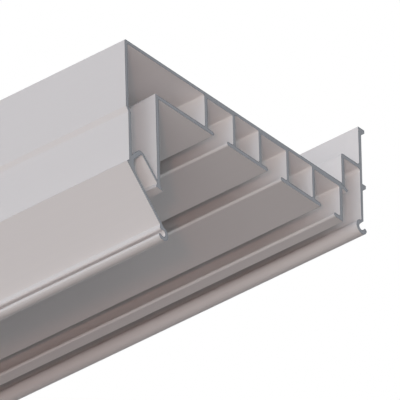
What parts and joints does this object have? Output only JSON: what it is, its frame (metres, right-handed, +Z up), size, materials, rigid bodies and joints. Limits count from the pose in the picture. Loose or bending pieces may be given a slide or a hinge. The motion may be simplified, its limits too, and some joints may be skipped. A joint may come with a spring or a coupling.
{
  "type": "curtain track",
  "caption": "Extruded curtain track with parallel glider channels, a stepped front fascia over a sloped light pocket, and an upright wall flange with a cable channel.",
  "frame": {"origin": "on the top face, over the middle channel's centre line, half way along the track", "axes": "+X towards the wall, across the channels; +Y along the track; +Z up, out of the top face"},
  "size_m": [0.1127, 0.4, 0.0883],
  "materials": {
    "aluminium": "satin, light grey anodised",
    "glider_plastic": "moulded white acetal",
    "wheel_plastic": "moulded natural nylon",
    "axle_steel": "zinc plated",
    "stop_zinc": "die-cast zinc, grey"
  },
  "bodies": {
    "track": {"track_profile": "aluminium", "wall_flange_profile": "aluminium", "front_stop_near": "stop_zinc", "front_stop_far": "stop_zinc", "front_stop_screw_near": "axle_steel", "front_stop_screw_far": "axle_steel", "middle_stop_near": "stop_zinc", "middle_stop_far": "stop_zinc", "middle_stop_screw_near": "axle_steel", "middle_stop_screw_far": "axle_steel", "rear_stop_near": "stop_zinc", "rear_stop_far": "stop_zinc", "rear_stop_screw_near": "axle_steel", "rear_stop_screw_far": "axle_steel"},
    "front_glider_1": {"front_glider_1_body": "glider_plastic"},
    "front_glider_1_wheels": {"front_glider_1_axle": "axle_steel", "front_glider_1_wheel_left": "wheel_plastic", "front_glider_1_wheel_right": "wheel_plastic"},
    "front_glider_1_eye": {"front_glider_1_eye": "glider_plastic"},
    "front_glider_2": {"front_glider_2_body": "glider_plastic"},
    "front_glider_2_wheels": {"front_glider_2_axle": "axle_steel", "front_glider_2_wheel_left": "wheel_plastic", "front_glider_2_wheel_right": "wheel_plastic"},
    "front_glider_2_eye": {"front_glider_2_eye": "glider_plastic"},
    "middle_glider_1": {"middle_glider_1_body": "glider_plastic"},
    "middle_glider_1_wheels": {"middle_glider_1_axle": "axle_steel", "middle_glider_1_wheel_left": "wheel_plastic", "middle_glider_1_wheel_right": "wheel_plastic"},
    "middle_glider_1_eye": {"middle_glider_1_eye": "glider_plastic"},
    "middle_glider_2": {"middle_glider_2_body": "glider_plastic"},
    "middle_glider_2_wheels": {"middle_glider_2_axle": "axle_steel", "middle_glider_2_wheel_left": "wheel_plastic", "middle_glider_2_wheel_right": "wheel_plastic"},
    "middle_glider_2_eye": {"middle_glider_2_eye": "glider_plastic"},
    "rear_glider_1": {"rear_glider_1_body": "glider_plastic"},
    "rear_glider_1_wheels": {"rear_glider_1_axle": "axle_steel", "rear_glider_1_wheel_left": "wheel_plastic", "rear_glider_1_wheel_right": "wheel_plastic"},
    "rear_glider_1_eye": {"rear_glider_1_eye": "glider_plastic"},
    "rear_glider_2": {"rear_glider_2_body": "glider_plastic"},
    "rear_glider_2_wheels": {"rear_glider_2_axle": "axle_steel", "rear_glider_2_wheel_left": "wheel_plastic", "rear_glider_2_wheel_right": "wheel_plastic"},
    "rear_glider_2_eye": {"rear_glider_2_eye": "glider_plastic"}
  },
  "joints": [
    {"name": "front_glider_1_slide", "type": "slide", "parent": "track", "child": "front_glider_1", "axis": [0, 1, 0], "range_m": [-0.0355, 0.051]},
    {"name": "front_glider_1_roll", "type": "hinge", "parent": "front_glider_1", "child": "front_glider_1_wheels", "pos_m": [-0.025, 0.01, -0.00785], "axis": [1, 0, 0], "range_deg": [-660, 470]},
    {"name": "front_glider_1_swivel", "type": "hinge", "parent": "front_glider_1", "child": "front_glider_1_eye", "pos_m": [-0.025, 0.01, -0.018], "axis": [0, 0, 1], "continuous": true},
    {"name": "front_glider_2_slide", "type": "slide", "parent": "track", "child": "front_glider_2", "axis": [0, 1, 0], "range_m": [-0.051, 0.0405]},
    {"name": "front_glider_2_roll", "type": "hinge", "parent": "front_glider_2", "child": "front_glider_2_wheels", "pos_m": [-0.025, 0.08, -0.00785], "axis": [1, 0, 0], "range_deg": [-530, 660]},
    {"name": "front_glider_2_swivel", "type": "hinge", "parent": "front_glider_2", "child": "front_glider_2_eye", "pos_m": [-0.025, 0.08, -0.018], "axis": [0, 0, 1], "continuous": true},
    {"name": "middle_glider_1_slide", "type": "slide", "parent": "track", "child": "middle_glider_1", "axis": [0, 1, 0], "range_m": [-0.0205, 0.051]},
    {"name": "middle_glider_1_roll", "type": "hinge", "parent": "middle_glider_1", "child": "middle_glider_1_wheels", "pos_m": [0, -0.005, -0.00785], "axis": [1, 0, 0], "range_deg": [-660, 280]},
    {"name": "middle_glider_1_swivel", "type": "hinge", "parent": "middle_glider_1", "child": "middle_glider_1_eye", "pos_m": [0, -0.005, -0.018], "axis": [0, 0, 1], "continuous": true},
    {"name": "middle_glider_2_slide", "type": "slide", "parent": "track", "child": "middle_glider_2", "axis": [0, 1, 0], "range_m": [-0.051, 0.0555]},
    {"name": "middle_glider_2_roll", "type": "hinge", "parent": "middle_glider_2", "child": "middle_glider_2_wheels", "pos_m": [0, 0.065, -0.00785], "axis": [1, 0, 0], "range_deg": [-720, 660]},
    {"name": "middle_glider_2_swivel", "type": "hinge", "parent": "middle_glider_2", "child": "middle_glider_2_eye", "pos_m": [0, 0.065, -0.018], "axis": [0, 0, 1], "continuous": true},
    {"name": "rear_glider_1_slide", "type": "slide", "parent": "track", "child": "rear_glider_1", "axis": [0, 1, 0], "range_m": [-0.0455, 0.056]},
    {"name": "rear_glider_1_roll", "type": "hinge", "parent": "rear_glider_1", "child": "rear_glider_1_wheels", "pos_m": [0.025, 0.02, -0.00785], "axis": [1, 0, 0], "range_deg": [-730, 590]},
    {"name": "rear_glider_1_swivel", "type": "hinge", "parent": "rear_glider_1", "child": "rear_glider_1_eye", "pos_m": [0.025, 0.02, -0.018], "axis": [0, 0, 1], "continuous": true},
    {"name": "rear_glider_2_slide", "type": "slide", "parent": "track", "child": "rear_glider_2", "axis": [0, 1, 0], "range_m": [-0.056, 0.0255]},
    {"name": "rear_glider_2_roll", "type": "hinge", "parent": "rear_glider_2", "child": "rear_glider_2_wheels", "pos_m": [0.025, 0.095, -0.00785], "axis": [1, 0, 0], "range_deg": [-340, 730]},
    {"name": "rear_glider_2_swivel", "type": "hinge", "parent": "rear_glider_2", "child": "rear_glider_2_eye", "pos_m": [0.025, 0.095, -0.018], "axis": [0, 0, 1], "continuous": true}
  ],
  "couplings": [
    {"joint": "front_glider_1_roll", "follows": "front_glider_1_slide", "rad_per_m": -222.22},
    {"joint": "front_glider_2_roll", "follows": "front_glider_2_slide", "rad_per_m": -222.22},
    {"joint": "middle_glider_1_roll", "follows": "middle_glider_1_slide", "rad_per_m": -222.22},
    {"joint": "middle_glider_2_roll", "follows": "middle_glider_2_slide", "rad_per_m": -222.22},
    {"joint": "rear_glider_1_roll", "follows": "rear_glider_1_slide", "rad_per_m": -222.22},
    {"joint": "rear_glider_2_roll", "follows": "rear_glider_2_slide", "rad_per_m": -222.22}
  ]
}
